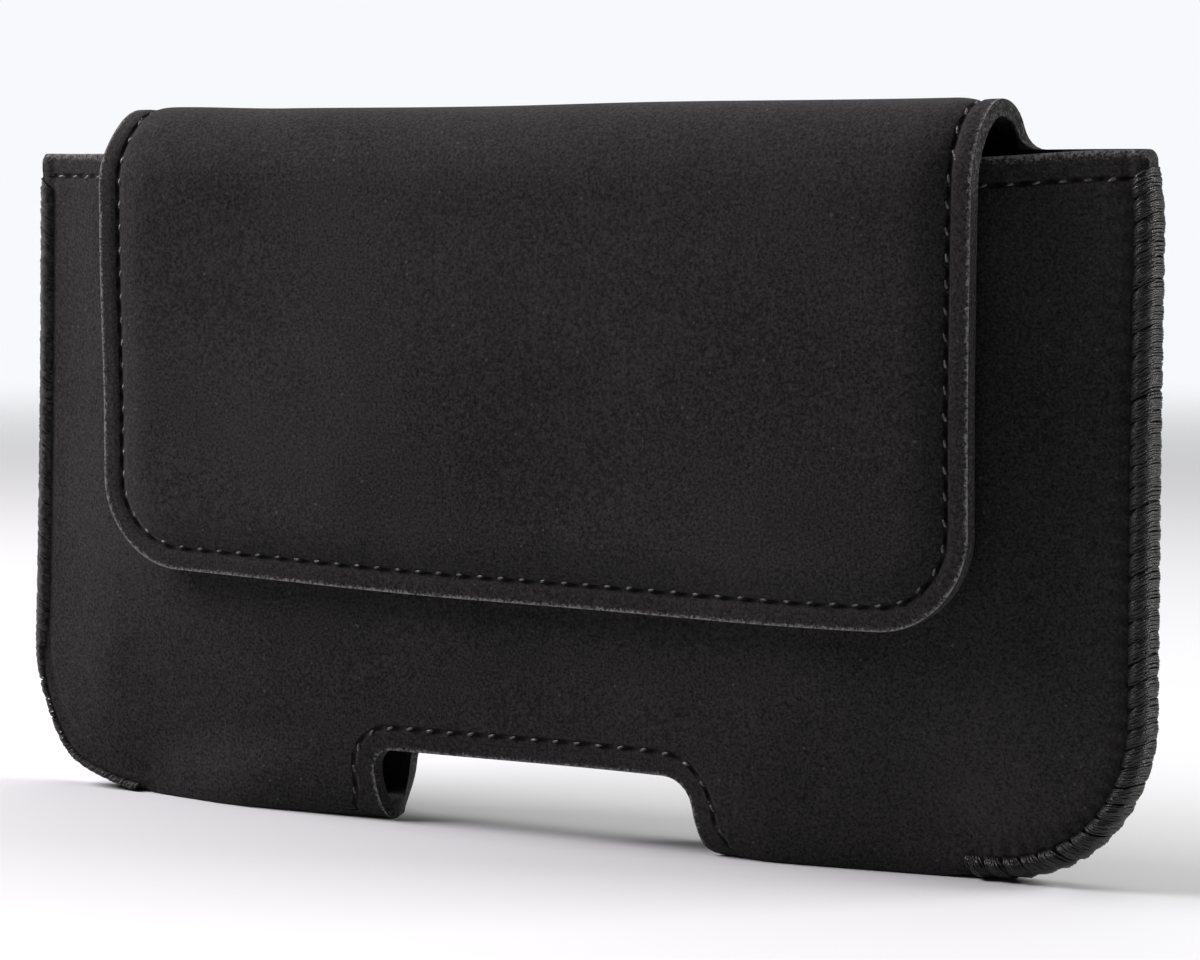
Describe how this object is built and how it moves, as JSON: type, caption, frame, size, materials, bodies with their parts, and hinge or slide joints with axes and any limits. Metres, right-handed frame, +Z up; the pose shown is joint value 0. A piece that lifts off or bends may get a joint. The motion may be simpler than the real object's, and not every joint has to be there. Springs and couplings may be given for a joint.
{
  "type": "belt pouch",
  "caption": "Horizontal leather belt pouch for a phone, with an arched flap closed by hidden magnets, a stitched edge, a push-through notch below and two belt loops behind.",
  "frame": {"origin": "centre of the bounding box, at the height of the two bottom folds that it stands on", "axes": "+X across the pouch, to the right of someone facing its flap; -Y is the way the flap faces; +Z up"},
  "size_m": [0.18, 0.0252, 0.1015],
  "materials": {
    "outer_leather": "black nubuck, matt with a soft sheen",
    "lining": "brushed dark grey microfibre",
    "edge_thread": "thick waxed black thread",
    "loop_leather": "black nubuck, matt",
    "keeper_steel": "plain steel",
    "flap_lining_leather": "black split leather, matt",
    "stiffener_board": "grey-brown fibre board",
    "magnet": "plated disc"
  },
  "bodies": {
    "pouch": {"outer_shell": "outer_leather", "shell_lining": "lining", "edge_stitching_left": "edge_thread", "edge_stitching_right": "edge_thread", "belt_loop_left": "loop_leather", "belt_loop_right": "loop_leather", "keeper_plate_left": "keeper_steel", "keeper_plate_right": "keeper_steel"},
    "flap": {"flap_outer": "outer_leather", "flap_lining": "flap_lining_leather", "flap_stiffener": "stiffener_board", "flap_magnet_left": "magnet", "flap_magnet_right": "magnet"}
  },
  "joints": [
    {"name": "flap_hinge", "type": "hinge", "parent": "pouch", "child": "flap", "pos_m": [0, -0.0033, 0.1018], "axis": [-1, 0, 0], "range_deg": [0, 170]}
  ]
}
